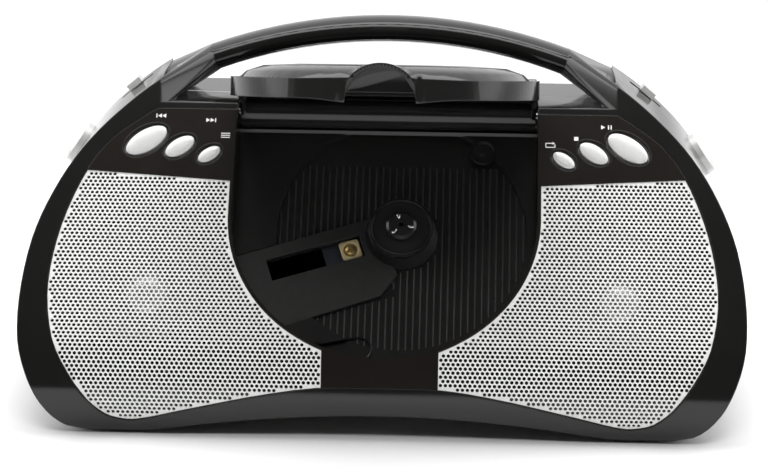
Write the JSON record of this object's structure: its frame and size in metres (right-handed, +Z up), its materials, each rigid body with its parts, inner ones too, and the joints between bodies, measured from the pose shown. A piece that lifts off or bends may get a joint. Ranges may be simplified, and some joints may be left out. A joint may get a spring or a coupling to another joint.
{
  "type": "boombox",
  "caption": "Arched portable CD and radio player with an integral carry handle, two perforated grilles, a leaning front and a CD door standing open on its hinge",
  "frame": {"origin": "middle of the bounding box at rest, on the surface that the feet stand on", "axes": "+Z up, -Y towards the listener (front), +X to the listener's right"},
  "size_m": [0.344, 0.1826, 0.1862],
  "materials": {
    "gloss_black": "polished black plastic",
    "satin_black": "fine-grained black plastic",
    "dark_grey_plastic": "satin dark grey plastic",
    "grille_metal": "perforated sheet, silver-white paint",
    "silver_plastic": "silver-painted plastic",
    "black_acetal": "smooth moulded plastic",
    "white_acetal": "natural moulded plastic",
    "sled_plastic": "moulded filled plastic",
    "lens_glass": "coated lens in a gold holder",
    "bright_steel": "bright steel",
    "zinc_plate": "zinc-plated sheet",
    "antenna_chrome": "chrome-plated tube",
    "basket_steel": "black pressed steel",
    "ferrite": "ferrite ring and steel pole",
    "cone_paper": "pressed paper with a cloth surround",
    "cap_aluminium": "domed aluminium",
    "circuit_board": "glass-fibre board with solder mask",
    "component_black": "moulded component bodies",
    "ribbon": "flat ribbon cable",
    "transformer_iron": "varnished laminated core",
    "black_rubber": "soft rubber"
  },
  "bodies": {
    "cabinet": {"front_frame": "gloss_black", "rear_cabinet": "gloss_black", "centre_panel": "gloss_black", "grille_left": "grille_metal", "grille_right": "grille_metal", "cd_well": "satin_black", "mechanism_cover": "dark_grey_plastic", "door_hinge_pins": "bright_steel", "door_spring": "bright_steel", "spindle_motor": "bright_steel", "mechanism_chassis": "zinc_plate", "isolators": "black_rubber", "guide_rods": "bright_steel", "sled_motor": "bright_steel", "key_board_left": "circuit_board", "key_board_right": "circuit_board", "tact_switches": "component_black", "volume_pot": "zinc_plate", "tuning_capacitor": "white_acetal", "function_switch": "zinc_plate", "band_switch": "zinc_plate", "speaker_frame_left": "basket_steel", "speaker_frame_right": "basket_steel", "speaker_magnets": "ferrite", "main_board": "circuit_board", "board_components": "component_black", "ribbon_cable": "ribbon", "transformer": "transformer_iron", "ac_inlet": "satin_black", "battery_box": "satin_black", "battery_contacts": "bright_steel", "rubber_feet": "black_rubber", "cabinet_screws": "bright_steel"},
    "door": {"cd_door": "gloss_black"},
    "disc_drive": {"turntable": "black_acetal", "centring_hub": "black_acetal", "hub_balls": "bright_steel"},
    "pickup": {"optical_sled": "sled_plastic", "pickup_lens": "lens_glass"},
    "pickup_gear": {"sled_gear": "white_acetal"},
    "skip_back_key": {"button_skip_back": "silver_plastic"},
    "skip_forward_key": {"button_skip_forward": "silver_plastic"},
    "program_key": {"button_program": "silver_plastic"},
    "repeat_key": {"button_repeat": "silver_plastic"},
    "stop_key": {"button_stop": "silver_plastic"},
    "play_key": {"button_play": "silver_plastic"},
    "volume": {"volume_knob": "silver_plastic"},
    "tuning": {"tuning_knob": "silver_plastic"},
    "function": {"function_slider": "silver_plastic"},
    "band": {"band_slider": "silver_plastic"},
    "left_cone": {"speaker_cone_left": "cone_paper", "dust_cap_left": "cap_aluminium"},
    "right_cone": {"speaker_cone_right": "cone_paper", "dust_cap_right": "cap_aluminium"},
    "battery_lid": {"battery_door": "gloss_black"},
    "antenna_fork": {"antenna_base": "antenna_chrome"},
    "antenna_rod": {"antenna_tube": "antenna_chrome"},
    "antenna_mid": {"antenna_middle": "antenna_chrome"},
    "antenna_end": {"antenna_tip": "antenna_chrome"}
  },
  "joints": [
    {"name": "cd_door_hinge", "type": "hinge", "parent": "cabinet", "child": "door", "pos_m": [0, 0.04034, 0.13455], "axis": [1, 0, 0], "range_deg": [0, 61.2], "stiffness_Nm_per_rad": 0.06, "springref_deg": -74.48},
    {"name": "turntable_spin", "type": "hinge", "parent": "cabinet", "child": "disc_drive", "pos_m": [0.008, 0.00105, 0.08462], "axis": [0, -0.766, 0.6428], "continuous": true},
    {"name": "pickup_travel", "type": "slide", "parent": "cabinet", "child": "pickup", "axis": [-0.9511, -0.1986, -0.2367], "range_m": [0, 0.033]},
    {"name": "pickup_gear_turn", "type": "hinge", "parent": "cabinet", "child": "pickup_gear", "pos_m": [0.00031, -0.00968, 0.0485], "axis": [0, -0.766, 0.6428], "range_deg": [-5, 330]},
    {"name": "skip_back_press", "type": "slide", "parent": "cabinet", "child": "skip_back_key", "axis": [0, 0.766, -0.6428], "range_m": [0, 0.001], "stiffness_N_per_m": 400, "springref_m": -0.0005},
    {"name": "skip_forward_press", "type": "slide", "parent": "cabinet", "child": "skip_forward_key", "axis": [0, 0.766, -0.6428], "range_m": [0, 0.001], "stiffness_N_per_m": 400, "springref_m": -0.0005},
    {"name": "program_press", "type": "slide", "parent": "cabinet", "child": "program_key", "axis": [0, 0.766, -0.6428], "range_m": [0, 0.001], "stiffness_N_per_m": 400, "springref_m": -0.0005},
    {"name": "repeat_press", "type": "slide", "parent": "cabinet", "child": "repeat_key", "axis": [0, 0.766, -0.6428], "range_m": [0, 0.001], "stiffness_N_per_m": 400, "springref_m": -0.0005},
    {"name": "stop_press", "type": "slide", "parent": "cabinet", "child": "stop_key", "axis": [0, 0.766, -0.6428], "range_m": [0, 0.001], "stiffness_N_per_m": 400, "springref_m": -0.0005},
    {"name": "play_press", "type": "slide", "parent": "cabinet", "child": "play_key", "axis": [0, 0.766, -0.6428], "range_m": [0, 0.001], "stiffness_N_per_m": 400, "springref_m": -0.0005},
    {"name": "volume_turn", "type": "hinge", "parent": "cabinet", "child": "volume", "pos_m": [-0.157, 0.0683, 0.1105], "axis": [-0.8251, 0, 0.565], "range_deg": [-150, 150]},
    {"name": "tuning_turn", "type": "hinge", "parent": "cabinet", "child": "tuning", "pos_m": [0.157, 0.0683, 0.1105], "axis": [0.8251, 0, 0.565], "range_deg": [-150, 150]},
    {"name": "function_slide", "type": "slide", "parent": "cabinet", "child": "function", "axis": [-0.766, 0, -0.6428], "range_m": [-0.006, 0.006]},
    {"name": "band_slide", "type": "slide", "parent": "cabinet", "child": "band", "axis": [0.766, 0, -0.6428], "range_m": [-0.006, 0.006]},
    {"name": "left_cone_travel", "type": "slide", "parent": "cabinet", "child": "left_cone", "axis": [0, -0.766, 0.6428], "range_m": [-0.001, 0.001], "stiffness_N_per_m": 1500},
    {"name": "right_cone_travel", "type": "slide", "parent": "cabinet", "child": "right_cone", "axis": [0, -0.766, 0.6428], "range_m": [-0.001, 0.001], "stiffness_N_per_m": 1500},
    {"name": "battery_door_hinge", "type": "hinge", "parent": "cabinet", "child": "battery_lid", "pos_m": [0, 0.08305, 0.0216], "axis": [-1, 0, 0], "range_deg": [0, 85]},
    {"name": "antenna_swing", "type": "hinge", "parent": "cabinet", "child": "antenna_fork", "pos_m": [0.096, 0.0883, 0.126], "axis": [0, 1, 0], "range_deg": [0, 180]},
    {"name": "antenna_tilt", "type": "hinge", "parent": "antenna_fork", "child": "antenna_rod", "pos_m": [0.096, 0.0883, 0.126], "axis": [0, 0, -1], "range_deg": [0, 90]},
    {"name": "antenna_extend", "type": "slide", "parent": "antenna_rod", "child": "antenna_mid", "axis": [-1, 0, 0], "range_m": [0, 0.12]},
    {"name": "antenna_tip_extend", "type": "slide", "parent": "antenna_mid", "child": "antenna_end", "axis": [-1, 0, 0], "range_m": [0, 0.12]}
  ],
  "couplings": [
    {"joint": "pickup_gear_turn", "follows": "pickup_travel", "rad_per_m": 168.07},
    {"joint": "antenna_tip_extend", "follows": "antenna_extend", "ratio": 1}
  ]
}
